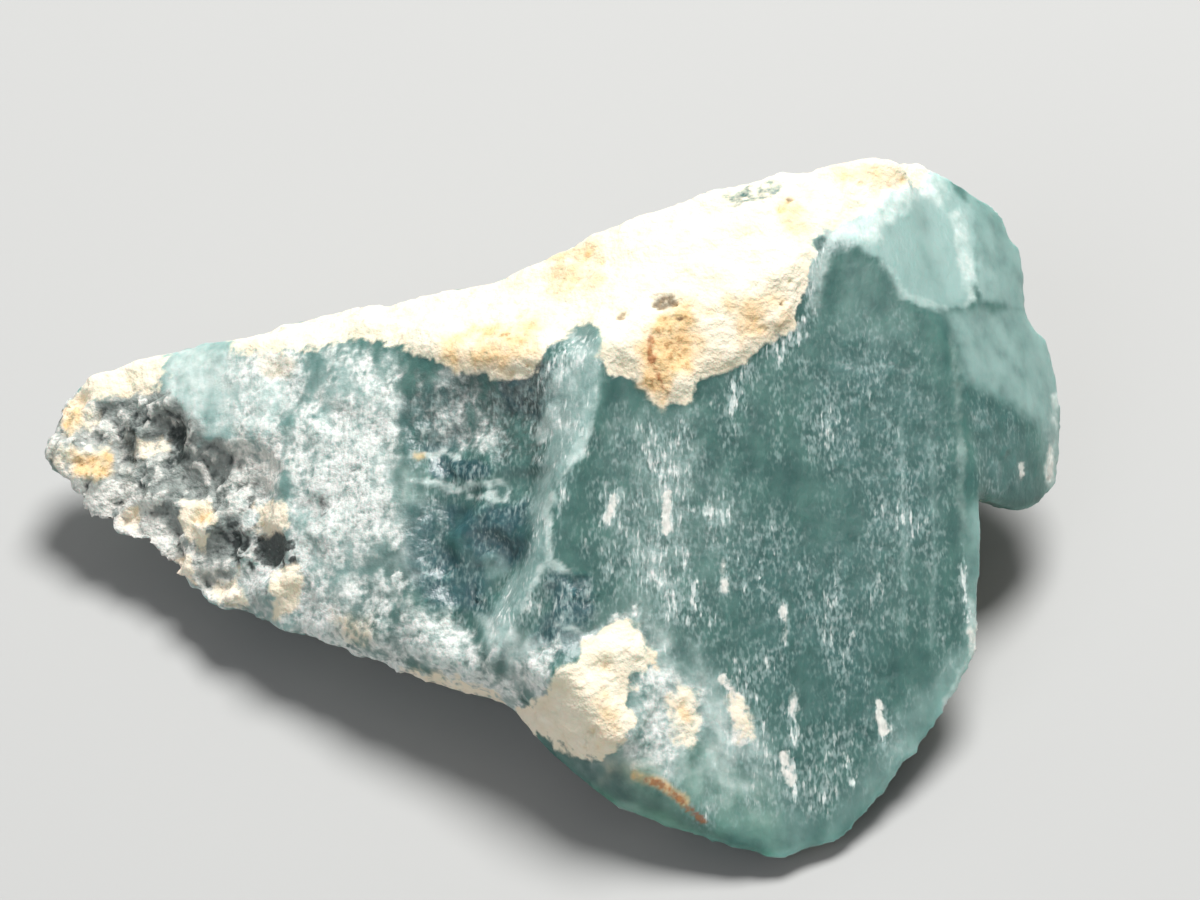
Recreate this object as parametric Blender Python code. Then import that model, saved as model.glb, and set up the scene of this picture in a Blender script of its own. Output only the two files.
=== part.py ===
"""Rough grandidierite: one broken piece of teal crystal with a pale weathered crust, made as one solid.

The stone is a low wedge on a small flat spot. Its broad cleavage face leans back from the viewer, a
shoulder and a thin lobe stand at its right, a tapering toe points left, and a crust covers its top.

Lengths are millimetres until the last step, which brings the finished mesh to metres. +X runs along the
stone to the right, +Y away from the viewer and +Z up. The origin is the middle of the flat spot.
"""

import math
from typing import NamedTuple

import bmesh
import bpy
import numpy as np
from mathutils import Vector, noise

METRES_PER_MM = 0.001

# Driving dimensions
STONE_LENGTH = 25.0
LUMP_SIZE = 1.1
FINE_LUMP_SIZE = 0.55
FLAKE_SIZE = 1.4
SWELL_SIZE = 3.5
SWELL_HEIGHT = 0.07
VOXEL = 0.16
ROUNDING_PASSES = 3
TRIANGLE_BUDGET = 9200


class Texture(NamedTuple):
    """How far one kind of surface stands out from the blocks, and how high its roughness is."""

    rise: float = 0.0
    lumps: float = 0.0
    fine_lumps: float = 0.0
    flakes: float = 0.0


CRUST_TEXTURE = Texture(rise=0.18, lumps=0.13, fine_lumps=0.08)
LOWER_CRUST_TEXTURE = Texture(rise=0.25, lumps=0.18, fine_lumps=0.12)
HOLLOW_TEXTURE = Texture(rise=-0.4, flakes=0.28)
RECESS_TEXTURE = Texture(rise=-0.35, lumps=0.16, fine_lumps=0.16)
VEIN_TEXTURE = Texture(rise=0.12)
TOE_TEXTURE = Texture(lumps=0.1, fine_lumps=0.06, flakes=0.14)
BACK_TEXTURE = Texture(lumps=0.1)
HACKLY_TEXTURE = Texture(flakes=0.34)
GRAIN_TEXTURE = Texture(rise=0.3, fine_lumps=0.2)

# The finish of fresh crystal
STONE_COLOUR = (0.115, 0.225, 0.215, 1.0)
STONE_ROUGHNESS = 0.5

# The viewpoint of the photograph: pixels of its 1200 x 900 frame become places on the stone
PHOTO_WIDTH, PHOTO_HEIGHT = 1200, 900
LENGTH_IN_PX = 1046  # of the stone, were all of it as far from the eye as the aim point
EYE_ELEVATION = math.radians(45.0)
EYE_DISTANCE = 4 * STONE_LENGTH
AIM_POINT = Vector((-0.6, -0.8, 4.5))
MM_PER_PX = STONE_LENGTH / LENGTH_IN_PX
SIGHT = Vector((0.0, math.cos(EYE_ELEVATION), -math.sin(EYE_ELEVATION)))
PICTURE_UP = Vector((0.0, math.sin(EYE_ELEVATION), math.cos(EYE_ELEVATION)))
EYE = AIM_POINT - SIGHT * EYE_DISTANCE


def seen(px, py, surface):
    """The point that the photograph shows at pixel (px, py), on a plane or at a height above the table."""
    point, normal = surface if isinstance(surface, tuple) else (Vector((0, 0, surface)), Vector((0, 0, 1)))
    across = Vector((px - PHOTO_WIDTH / 2, 0, 0))
    ray = SIGHT + (across + PICTURE_UP * (PHOTO_HEIGHT / 2 - py)) * MM_PER_PX / EYE_DISTANCE
    return EYE + ray * ((point - EYE).dot(normal) / ray.dot(normal))


def plane_through(*three_corners):
    """The plane through three seen corners, as a point and a normal."""
    a, b, c = (seen(*corner) for corner in three_corners)
    return a, (b - a).cross(c - a).normalized()


def pixels_of(points):
    """The photograph's pixel (px, py) of each point, as two arrays."""
    offset = points - np.array(EYE)
    scale = EYE_DISTANCE / MM_PER_PX / (offset @ np.array(SIGHT))
    up = offset @ np.array(PICTURE_UP)
    return PHOTO_WIDTH / 2 + offset[:, 0] * scale, PHOTO_HEIGHT / 2 - up * scale


# Planes of the main flat faces, each through three corners (pixel across, pixel down, height)
FACE = plane_through((785, 863, 0.5), (857, 240, 7.9), (981, 500, 4.0))
PALE = plane_through((905, 303, 6.9), (950, 299, 6.4), (935, 170, 7.0))
LIP = plane_through((150, 356, 3.7), (165, 400, 3.4), (270, 442, 4.0))

# Blocks. Seen corners are (pixel across, pixel down, plane or height), hidden ones (x, y, z)
BODY_SEEN = (
    # the broad face, round its edge from the foot
    (787, 868, FACE),
    (822, 860, FACE),
    (855, 839, FACE),
    (872, 812, FACE),
    (898, 784, FACE),
    (930, 745, FACE),
    (968, 690, FACE),
    (984, 655, FACE),
    (984, 500, FACE),
    (960, 395, FACE),
    (943, 330, FACE),
    (905, 303, FACE),
    (857, 238, FACE),
    (600, 345, FACE),
    (560, 560, FACE),
    (575, 700, FACE),
    (637, 776, FACE),
    (708, 822, FACE),
    # the rim below its bevel
    (750, 861, 0.6),
    (714, 851, 0.7),
    (666, 833, 0.9),
    (618, 811, 1.1),
    (570, 775, 1.4),
    (521, 723, 1.9),
    # the far edge of the top
    (500, 284, 6.2),
    (540, 267, 6.7),
    (630, 224, 7.6),
    (740, 185, 8.0),
    (830, 165, 8.0),
    (905, 160, 7.8),
)
BODY_HIDDEN = (
    # the back
    (-4.2, 4.2, 1.2),
    (-3.0, 5.4, 3.4),
    (1.2, 6.3, 4.8),
    (4.8, 6.0, 3.6),
    (5.2, 5.2, 1.4),
    # round the flat spot
    (-3.6, -0.6, -0.1),
    (-2.6, 2.2, -0.1),
    (0.4, 3.0, -0.1),
    (3.4, 2.4, -0.1),
    (4.2, -0.2, -0.1),
    (2.6, -2.8, -0.1),
    (-1.0, -2.9, -0.1),
)
SHOULDER_SEEN = (
    # the pale facet on top
    (857, 238, PALE),
    (905, 303, PALE),
    (950, 299, PALE),
    (976, 301, PALE),
    (955, 200, PALE),
    (948, 180, PALE),
    (920, 160, PALE),
    (870, 170, PALE),
    # the bluish facet right of it
    (985, 205, 6.4),
    (1006, 214, 5.9),
    (1026, 256, 5.3),
    (1028, 308, 4.9),
)
SHOULDER_HIDDEN = ((3.4, 4.4, 1.6), (8.0, 4.0, 2.0), (8.2, 1.2, 2.6))
LOBE_SEEN = (
    # the light half, which faces up
    (940, 305, 6.5),
    (943, 330, FACE),
    (960, 395, FACE),
    (1020, 418, 4.2),
    (1042, 440, 3.5),
    (1028, 310, 4.9),
    (1047, 338, 4.2),
    (1060, 375, 3.6),
    # the dark half, nearly flush with the broad face, and the rim
    (975, 497, 3.9),
    (1008, 508, 3.1),
    (1030, 517, 2.5),
    (1048, 503, 2.3),
    (1063, 436, 2.8),
    (1061, 486, 2.2),
)
LOBE_HIDDEN = ((6.4, 3.4, 1.8), (9.0, 3.6, 2.0), (6.0, 0.8, 2.6))
TOE_SEEN = (
    # the far edge of the top
    (55, 398, 2.7),
    (88, 374, 3.1),
    (148, 352, LIP),
    (205, 342, LIP),
    (300, 334, 4.7),
    (400, 311, 5.5),
    (500, 285, 6.2),
    # the edge of the lip and the swell of the front
    (165, 400, LIP),
    (200, 426, LIP),
    (270, 442, LIP),
    (44, 422, 2.4),
    (44, 470, 2.1),
    (68, 507, 1.8),
    (400, 370, 5.9),
    (592, 350, FACE),
    (340, 520, 3.9),
    (400, 560, 3.9),
    (565, 560, FACE),
    (560, 680, FACE),
    # the low edge
    (106, 530, 1.7),
    (166, 560, 1.6),
    (192, 600, 1.5),
    (262, 627, 1.7),
    (350, 652, 1.9),
    (470, 694, 2.0),
    (516, 712, 1.9),
)
TOE_HIDDEN = (
    (-10.4, 3.6, 1.4),
    (-7.6, 1.2, 0.6),
    (-3.8, -0.8, 0.1),
    (-3.2, 3.4, 0.6),
    (-7.0, 4.2, 1.6),
)
LEDGE_SEEN = ((262, 334, 4.2), (290, 317, 4.5), (335, 309, 4.8), (378, 312, 5.0))
LEDGE_HIDDEN = (
    (-8.0, 4.0, 3.2),
    (-5.4, 4.7, 3.4),
    (-2.6, 4.9, 3.2),
    (-2.4, 4.6, 1.8),
    (-7.6, 3.9, 1.8),
    (-6.1, 1.8, 2.0),
)
BACK_SLAB_HIDDEN = (
    (-1.8, 6.4, 2.2),
    (3.6, 6.7, 2.6),
    (3.0, 6.7, 5.0),
    (-1.2, 6.2, 4.4),
    (-2.4, 5.0, 1.0),
    (4.4, 5.2, 1.1),
    (1.0, 0.8, 1.6),
    (0.4, 0.8, 5.0),
)
BLOCKS = (
    (BODY_SEEN, BODY_HIDDEN),
    (SHOULDER_SEEN, SHOULDER_HIDDEN),
    (LOBE_SEEN, LOBE_HIDDEN),
    (TOE_SEEN, TOE_HIDDEN),
    (LEDGE_SEEN, LEDGE_HIDDEN),
    ((), BACK_SLAB_HIDDEN),
)

# Zones of the surface, as outlines in the photograph
CRUST = (
    (340, 338),
    (400, 345),
    (440, 365),
    (500, 373),
    (530, 368),
    (560, 345),
    (580, 325),
    (600, 358),
    (640, 385),
    (662, 403),
    (690, 400),
    (705, 380),
    (740, 360),
    (790, 330),
    (800, 310),
    (812, 260),
    (830, 235),
    (850, 215),
    (880, 185),
    (930, 180),
    (930, 120),
    (700, 120),
    (360, 260),
)
LOWER_CRUST = (
    (520, 690),
    (560, 650),
    (620, 622),
    (650, 650),
    (660, 705),
    (640, 745),
    (590, 765),
    (540, 725),
)
HOLLOW = (
    (400, 400),
    (440, 360),
    (545, 365),
    (570, 430),
    (550, 520),
    (530, 590),
    (480, 680),
    (420, 660),
    (405, 560),
)
RECESS = (
    (100, 400),
    (160, 402),
    (200, 432),
    (265, 446),
    (290, 470),
    (270, 520),
    (300, 560),
    (270, 590),
    (225, 600),
    (150, 600),
    (90, 540),
    (95, 470),
)
LIP_ZONE = ((100, 385), (150, 360), (230, 345), (290, 360), (270, 440), (200, 425), (160, 398))
VEIN = ((600, 340), (592, 420), (565, 480), (545, 560), (492, 645))
TOE_END, TOE_START = 370, 430

# Single grains that stand on the toe (pixel across, pixel down, radius in pixels)
GRAINS = (
    (200, 520, 20),
    (184, 572, 13),
    (272, 590, 18),
    (130, 430, 14),
    (75, 440, 16),
    (95, 480, 14),
    (235, 560, 12),
)


def depth_inside(px, py, outline):
    """How far each pixel is inside the outline, in pixels, and below zero outside it."""
    nearest = np.full(len(px), np.inf)
    inside = np.zeros(len(px), bool)
    for (ax, ay), (bx, by) in zip(outline, outline[1:] + outline[:1]):
        nearest = np.minimum(nearest, distance_to_stretch(px, py, (ax, ay), (bx, by)))
        crosses = (ay > py) != (by > py)
        where = ax + (py - ay) * (bx - ax) / (by - ay if by != ay else 1)
        inside ^= crosses & (px < where)
    return np.where(inside, nearest, -nearest)


def distance_to_stretch(px, py, start, end):
    """How far each pixel is from the straight stretch between two others."""
    along_x, along_y = end[0] - start[0], end[1] - start[1]
    share = ((px - start[0]) * along_x + (py - start[1]) * along_y) / (along_x**2 + along_y**2)
    share = np.clip(share, 0, 1)
    return np.hypot(px - start[0] - share * along_x, py - start[1] - share * along_y)


def ease(amount):
    """A smooth step from 0 to 1 as the amount goes from 0 to 1."""
    amount = np.clip(amount, 0, 1)
    return amount * amount * (3 - 2 * amount)


def grain(points, size, seed):
    """Smooth noise from -1 to 1 whose lumps are about size wide."""
    shift = Vector((seed * 17.3, seed * 5.1, seed * 11.7))
    return np.array([noise.noise(Vector(p) / size + shift) for p in points])


def chips(points, size, seed):
    """Flat tilted chips about size wide with small ledges between them, from -1 to 1."""
    shift = Vector((seed * 3.7, seed * 13.1, seed * 7.9))
    heights = []
    for p in points:
        place = Vector(p) / size + shift
        centre = noise.voronoi(place)[1][0]
        tilt = noise.cell_vector(centre * 37.0) - Vector((0.5, 0.5, 0.5))
        heights.append(2 * tilt.dot(place - centre))
    return np.array(heights)


def zones_at(px, py, front, points):
    """Each texture with the share from 0 to 1 that it has in every point of the skin."""

    def inside(outline, softness, ragged=0.0):
        return front * ease((depth_inside(px, py, outline) + ragged) / softness)

    ragged = 5 * grain(points, 0.8, 4)
    crust = inside(CRUST, 12, ragged)
    recess = inside(RECESS, 18)
    lip = inside(LIP_ZONE, 10)
    vein_distance = np.min([distance_to_stretch(px, py, a, b) for a, b in zip(VEIN, VEIN[1:])], axis=0)
    toe = front * ease((TOE_START - px) / (TOE_START - TOE_END))
    hackly = ease(0.5 + 1.6 * grain(points, 4.5, 6))
    return (
        (crust, CRUST_TEXTURE),
        (inside(LOWER_CRUST, 12, ragged), LOWER_CRUST_TEXTURE),
        (inside(HOLLOW, 40), HOLLOW_TEXTURE),
        (recess, RECESS_TEXTURE),
        (front * ease(1 - vein_distance / 20), VEIN_TEXTURE),
        (toe * (1 - crust) * (1 - recess) * (1 - 0.7 * lip), TOE_TEXTURE),
        (1 - front, BACK_TEXTURE),
        ((1 - front) * hackly, HACKLY_TEXTURE),
    )


def relief(points, normals):
    """How far each point of the skin moves out along its normal."""
    px, py = pixels_of(points)
    front = ease((normals @ -np.array(SIGHT) + 0.1) / 0.3)
    lumps = grain(points, LUMP_SIZE, 1)
    fine_lumps = grain(points, FINE_LUMP_SIZE, 2)
    flakes = chips(points, FLAKE_SIZE, 3)

    def height(texture):
        rough = texture.lumps * lumps + texture.fine_lumps * fine_lumps + texture.flakes * flakes
        return texture.rise + rough

    out = SWELL_HEIGHT * grain(points, SWELL_SIZE, 5)
    for share, texture in zones_at(px, py, front, points):
        out += share * height(texture)
    for at_x, at_y, radius in GRAINS:
        away = np.hypot(px - at_x, py - at_y) / radius
        out += front * height(GRAIN_TEXTURE) * ease(1.4 + 0.5 * lumps - away)
    above_table = ease(points[:, 2] / 0.6)
    return out * above_table


def hull_into(mesh, corners):
    """Adds the convex hull of the corners to the bmesh."""
    points = [mesh.verts.new(corner) for corner in corners]
    made = bmesh.ops.convex_hull(mesh, input=points)
    unused = [v for v in made["geom_interior"] if isinstance(v, bmesh.types.BMVert)]
    bmesh.ops.delete(mesh, geom=unused, context="VERTS")


def rough_blocks():
    """All blocks as overlapping closed hulls in one bmesh."""
    mesh = bmesh.new()
    for seen_corners, hidden_corners in BLOCKS:
        corners = [seen(*corner) for corner in seen_corners] + list(hidden_corners)
        hull_into(mesh, corners)
    bmesh.ops.recalc_face_normals(mesh, faces=mesh.faces)
    return mesh


def evaluated(mesh, add_modifier):
    """The bmesh after one modifier, which add_modifier puts on a helper object."""
    data = bpy.data.meshes.new("helper")
    mesh.to_mesh(data)
    mesh.free()
    helper = bpy.data.objects.new("helper", data)
    bpy.context.scene.collection.objects.link(helper)
    add_modifier(helper)
    graph = bpy.context.evaluated_depsgraph_get()
    result = bmesh.new()
    result.from_mesh(helper.evaluated_get(graph).data)
    bpy.data.objects.remove(helper)
    bpy.data.meshes.remove(data)
    return result


def add_voxel_remesh(helper):
    """Fuses overlapping hulls into one closed skin of even quads."""
    remesh = helper.modifiers.new("fuse", "REMESH")
    remesh.mode = "VOXEL"
    remesh.voxel_size = VOXEL


def add_decimate(helper):
    """Thins the skin to the triangle budget, keeping ridges and ledges."""
    triangles = sum(len(face.vertices) - 2 for face in helper.data.polygons)
    decimate = helper.modifiers.new("thin", "DECIMATE")
    decimate.ratio = TRIANGLE_BUDGET / triangles


def smooth(mesh, passes):
    all_axes = {"use_axis_x": True, "use_axis_y": True, "use_axis_z": True}
    for _ in range(passes):
        bmesh.ops.smooth_vert(mesh, verts=mesh.verts, factor=0.5, **all_axes)


def carve(mesh):
    """Moves the skin out or in by its relief."""
    mesh.normal_update()
    points = np.array([v.co for v in mesh.verts])
    normals = np.array([v.normal for v in mesh.verts])
    for vertex, height in zip(mesh.verts, relief(points, normals)):
        vertex.co += vertex.normal * height


def cut_flat_spot(mesh):
    """Cuts the stone off at the table, which leaves the flat spot that it rests on."""
    whole = mesh.verts[:] + mesh.edges[:] + mesh.faces[:]
    cut = bmesh.ops.bisect_plane(mesh, geom=whole, plane_co=(0, 0, 0), plane_no=(0, 0, 1), clear_inner=True)
    rim = [edge for edge in cut["geom_cut"] if isinstance(edge, bmesh.types.BMEdge)]
    bmesh.ops.holes_fill(mesh, edges=rim, sides=0)
    bmesh.ops.triangulate(mesh, faces=mesh.faces)


def stone_material():
    material = bpy.data.materials.new("teal grandidierite")
    material.use_nodes = True
    shader = material.node_tree.nodes["Principled BSDF"]
    shader.inputs["Base Color"].default_value = STONE_COLOUR
    shader.inputs["Roughness"].default_value = STONE_ROUGHNESS
    shader.inputs["Metallic"].default_value = 0.0
    return material


def main():
    for old in list(bpy.data.objects):
        bpy.data.objects.remove(old)
    mesh = evaluated(rough_blocks(), add_voxel_remesh)
    smooth(mesh, ROUNDING_PASSES)
    carve(mesh)
    smooth(mesh, 1)
    mesh = evaluated(mesh, add_decimate)
    cut_flat_spot(mesh)
    bmesh.ops.scale(mesh, vec=(METRES_PER_MM,) * 3, verts=mesh.verts)
    data = bpy.data.meshes.new("grandidierite")
    mesh.to_mesh(data)
    mesh.free()
    data.materials.append(stone_material())
    stone = bpy.data.objects.new("grandidierite", data)
    bpy.context.scene.collection.objects.link(stone)


main()
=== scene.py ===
"""The looks of one piece of rough grandidierite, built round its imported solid.

The stone is a single piece of teal crystal that broke along its cleavage. A cream weathered crust
covers its top, its toe is mixed with grey granular matrix, and white powder and flecks lie on the
broken faces.

The stone is shaped in millimetres and brought to metres when it is finished. Pixels are those of the
photograph's 1200 x 900 frame, and a viewpoint ties them to places on the stone.
"""

from __future__ import annotations

import logging
import math
from collections.abc import Callable
from dataclasses import dataclass, field
from enum import Enum

import bmesh
import bpy
import numpy as np
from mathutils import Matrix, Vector, noise

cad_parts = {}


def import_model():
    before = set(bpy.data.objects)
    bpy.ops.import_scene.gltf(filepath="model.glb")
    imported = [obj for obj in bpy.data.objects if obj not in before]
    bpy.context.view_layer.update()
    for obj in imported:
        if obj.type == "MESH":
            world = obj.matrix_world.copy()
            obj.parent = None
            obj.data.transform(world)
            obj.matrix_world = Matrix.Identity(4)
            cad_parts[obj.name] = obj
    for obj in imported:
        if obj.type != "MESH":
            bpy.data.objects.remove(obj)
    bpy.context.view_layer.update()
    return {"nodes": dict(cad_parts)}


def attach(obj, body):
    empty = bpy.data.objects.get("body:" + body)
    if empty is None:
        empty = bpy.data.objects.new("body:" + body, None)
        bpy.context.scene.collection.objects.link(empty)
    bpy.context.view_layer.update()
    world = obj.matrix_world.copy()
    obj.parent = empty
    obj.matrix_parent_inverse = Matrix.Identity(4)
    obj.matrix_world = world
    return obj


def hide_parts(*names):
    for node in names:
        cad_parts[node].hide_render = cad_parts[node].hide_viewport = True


NODE = "grandidierite"
BODY = "root"
METRES_PER_MM = 0.001
MERGE_METRES = 1e-6
GRIT_HEIGHT = "grit_height"
FIBRE_HEIGHT = "fibre_height"
ALL_AXES = {"use_axis_x": True, "use_axis_y": True, "use_axis_z": True}

# a streak is gone this many of its widths from its middle, and its edge wanders less than a patch's
STREAK_REACH = 1.25
STREAK_WANDER = 0.5

# how far apart in the noise two seeds read, and what the noise of lumps is made of
SEED_STEP = (17.3, 5.1, 11.7)
LUMP_FALL = 1.0
LUMP_SHRINK = 2.0
LUMP_SIZES = 3

# these pick a cell's own tilt or width, and a pit is never narrower than the last
TILT_SHUFFLE = 37.0
WIDTH_SHUFFLE = 23.0
WIDEST_PIT = 0.5
NARROWEST_PIT = 0.01

Array = np.ndarray
Pixel = tuple[float, float]
Sizes = float | tuple[float, float, float]

log = logging.getLogger("grandidierite")


class Zone(Enum):
    """The kinds of surface on the stone, each an attribute of its points from 0 to 1, full of it."""

    # pale haze of the crystal, with painted light on the lit facets and painted glow on the thin rim
    HAZE_AND_PAINTED_LIGHT = "haze_and_painted_light"
    # white veils of worn crystal, with a painted highlight on the lip's top and the lobe's seam and painted
    # glow on the lobe's rim
    VEIL_AND_HIGHLIGHT = "veil_and_highlight"
    # a green tint, mostly painted glow where thin crystal lets light through
    GREEN_GLOW = "green"
    # the bluest crystal, and painted shade on the lobe's shaded half
    DEEP_AND_SHADE = "deep_and_shade"
    # grey veils, and painted shade under the crust's edge and in the hollow
    SMOKE_AND_SHADE = "smoke_and_shade"
    POWDER = "powder"
    FLECK = "fleck"
    MATRIX = "matrix"
    CREST = "crest"
    GRIT = "grit"
    CRUST = "crust"
    OCHRE = "ochre"
    RUST = "rust"
    PIT = "pit"


class Pattern(Enum):
    """The patterns that break up and shade the tones of the stone."""

    CLOUD = "cloud"
    DUST = "dust"
    FLAKE = "flake"
    FIBRE = "fibre"
    GRAIN = "grain"
    MOTTLE = "mottle"


@dataclass(frozen=True)
class Viewpoint:
    """Where the photograph was taken from. Lengths are millimetres, angles radians.

    Attributes:
        frame_wide: The photograph's width, in pixels.
        frame_high: Its height, in pixels.
        elevation: How far the camera looks down.
        distance: How far it stands from its aim.
        aim: The place in the middle of the photograph.
        stone_long: How long the stone is.
        stone_px: Over how many pixels that length shows.
        sensor_wide: The width of the camera's sensor.
        clip: The least and the greatest distance that it sees.
    """

    frame_wide: int = 1200
    frame_high: int = 900
    elevation: float = math.radians(45.0)
    distance: float = 100.0
    aim: tuple[float, float, float] = (-0.6, -0.8, 4.5)
    stone_long: float = 25.0
    stone_px: float = 1046.0
    sensor_wide: float = 36.0
    clip: tuple[float, float] = (1.0, 20000.0)

    @property
    def mm_per_px(self) -> float:
        """How much of the stone one pixel shows."""
        return self.stone_long / self.stone_px

    @property
    def sight(self) -> Array:
        """The direction in which the camera looks."""
        return np.array((0.0, math.cos(self.elevation), -math.sin(self.elevation)))

    @property
    def up(self) -> Array:
        """The direction on the stone that is upwards in the photograph."""
        return np.array((0.0, math.sin(self.elevation), math.cos(self.elevation)))

    @property
    def eye(self) -> Array:
        """The place of the camera."""
        return np.array(self.aim) - self.sight * self.distance

    def pixels_of(self, points: Array) -> tuple[Array, Array]:
        """Finds where points show in the photograph.

        Args:
            points: Places on the stone, one row each.

        Returns:
            The pixels across and the pixels down.
        """
        offset = points - self.eye
        scale = self.distance / self.mm_per_px / (offset @ self.sight)
        across = self.frame_wide / 2 + offset[:, 0] * scale
        down = self.frame_high / 2 - (offset @ self.up) * scale
        return across, down

    def add_camera(self) -> None:
        """Adds the camera at this viewpoint and makes it the scene's."""
        data = bpy.data.cameras.new("viewpoint")
        data.sensor_width = self.sensor_wide
        data.lens = self.sensor_wide * self.distance / (self.frame_wide * self.mm_per_px)
        data.clip_start, data.clip_end = (reach * METRES_PER_MM for reach in self.clip)
        camera = bpy.data.objects.new("viewpoint", data)
        camera.location = Vector(self.eye) * METRES_PER_MM
        camera.rotation_euler = (math.pi / 2 - self.elevation, 0.0, 0.0)
        bpy.context.scene.collection.objects.link(camera)
        bpy.context.scene.camera = camera


def ease(amount: Array) -> Array:
    """A smooth step from 0 to 1 as the amount goes from 0 to 1."""
    amount = np.clip(amount, 0.0, 1.0)
    return amount * amount * (3.0 - 2.0 * amount)


def corners_of(path: str) -> list[Pixel]:
    """Reads the places in a path of pixels, such as "120,360 158,345"."""
    return [tuple(float(number) for number in place.split(",")) for place in path.split()]


def distance_to_stretch(px: Array, py: Array, start: Pixel, end: Pixel) -> Array:
    """Measures how far pixels are from a straight stretch.

    Args:
        px: Pixels across.
        py: Pixels down.
        start: One end of the stretch.
        end: Its other end.

    Returns:
        The distances in pixels.
    """
    along_x, along_y = end[0] - start[0], end[1] - start[1]
    share = ((px - start[0]) * along_x + (py - start[1]) * along_y) / (along_x**2 + along_y**2)
    share = np.clip(share, 0.0, 1.0)
    return np.hypot(px - start[0] - share * along_x, py - start[1] - share * along_y)


@dataclass(frozen=True)
class Crystal:
    """The crystal's own axes. Its fibres and flecks run up its broad cleavage face.

    Attributes:
        dip: How far the fibres rise from level, in radians.
    """

    dip: float = math.radians(31.3)

    def along_axes(self, points: Array) -> Array:
        """Turns places so that the second number runs along the fibres."""
        cos, sin = math.cos(self.dip), math.sin(self.dip)
        across, away, high = points.T
        return np.stack((across, away * cos + high * sin, high * cos - away * sin), axis=1)


CRYSTAL = Crystal()


@dataclass(frozen=True)
class Patch:
    """An outlined place in the photograph that holds a kind of surface.

    Attributes:
        outline: Its corners, in pixels.
        amount: How densely the surface lies there, from 0 to 1.
        softness: Over how many pixels it fades out.
    """

    outline: str
    amount: float = 1.0
    softness: float = 10.0

    def share(self, px: Array, py: Array, ragged: Array) -> Array:
        """Works out how much of this patch lies at each pixel.

        Args:
            px: Pixels across.
            py: Pixels down.
            ragged: How far the outline wanders at each pixel, in pixels.

        Returns:
            The amounts, from 0 to 1.
        """
        corners = corners_of(self.outline)
        nearest = np.full(len(px), np.inf)
        inside = np.zeros(len(px), bool)
        for (ax, ay), (bx, by) in zip(corners, corners[1:] + corners[:1]):
            nearest = np.minimum(nearest, distance_to_stretch(px, py, (ax, ay), (bx, by)))
            crosses = (ay > py) != (by > py)
            where = ax + (py - ay) * (bx - ax) / (by - ay if by != ay else 1.0)
            inside ^= crosses & (px < where)
        depth = np.where(inside, nearest, -nearest) + ragged
        return self.amount * ease(0.5 + depth / self.softness)


@dataclass(frozen=True)
class Streak:
    """A narrow stroke in the photograph that holds a kind of surface.

    Attributes:
        path: The places it runs through, in pixels.
        width: How wide it is, in pixels.
        amount: How densely the surface lies on it, from 0 to 1.
    """

    path: str
    width: float = 8.0
    amount: float = 1.0

    def share(self, px: Array, py: Array, ragged: Array) -> Array:
        """Works out how much of this streak lies at each pixel.

        Args:
            px: Pixels across.
            py: Pixels down.
            ragged: How far its edge wanders at each pixel, in pixels.

        Returns:
            The amounts, from 0 to 1.
        """
        places = corners_of(self.path)
        stretches = zip(places, places[1:])
        nearest = np.min([distance_to_stretch(px, py, start, end) for start, end in stretches], axis=0)
        return self.amount * ease(STREAK_REACH - (nearest - STREAK_WANDER * ragged) / self.width)


@dataclass(frozen=True)
class Wave:
    """One size of lumps in an uneven pattern.

    Attributes:
        height: How strong it is.
        size: How wide its lumps are, in millimetres, or their sizes along the crystal's three axes.
        seed: Which of the many such patterns it takes.
    """

    height: float
    size: Sizes
    seed: int


# how outlines wander, and how a surface gathers in clumps
WANDER = (Wave(1.0, 0.8, 4), Wave(0.7, 0.3, 5))
CLUMPS = (Wave(1.6, (1.1, 2.2, 1.1), 6), Wave(1.2, (0.4, 0.8, 0.4), 7))


@dataclass(frozen=True)
class Drift:
    """How a kind of surface lies on the sides that the photograph doesn't show.

    Attributes:
        size: How wide its patches are, in millimetres.
        cover: The share of those sides that it takes, from 0 to 1.
        amount: How densely it lies in its patches, from 0 to 1.
        seed: Which of the many such patterns it takes.
        low: It fades out below this height, in millimetres.
        high: It fades out above this height, in millimetres.
        fade: Over what height it fades out, in millimetres.
        span: How far its pattern goes up and down.
        edge: Over how much of that its patches end.
        finer: How strong the lumps a third as wide are in it.
    """

    size: float
    cover: float
    amount: float
    seed: int
    low: float = -1.0
    high: float = 20.0
    fade: float = 0.8
    span: float = 1.6
    edge: float = 0.3
    finer: float = 0.4

    def share(self, survey: Survey) -> Array:
        """Works out how much of this drift lies at each point, if that point is hidden.

        Args:
            survey: The points.

        Returns:
            The amounts, from 0 to 1.
        """
        waves = (Wave(1.0, self.size, self.seed), Wave(self.finer, self.size / 3, self.seed + 1))
        level = survey.mixed(waves) + self.span * (self.cover - 0.5)
        height = survey.points[:, 2]
        within = ease((height - self.low) / self.fade) * ease((self.high - height) / self.fade)
        return self.amount * ease(level / self.edge + 0.5) * within


@dataclass(frozen=True)
class Spread:
    """Where one kind of surface lies: its places in the photograph, and its drift elsewhere.

    Attributes:
        marks: Its places.
        holes: The places inside those where it is worn away.
        drift: How it lies on the hidden sides.
        ragged: How far its outlines wander, in pixels.
        clumps: How strongly it gathers in clumps, from 0 to 1.
    """

    marks: tuple[Patch | Streak, ...]
    holes: tuple[Patch | Streak, ...] = ()
    drift: Drift | None = None
    ragged: float = 5.0
    clumps: float = 0.0


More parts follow.
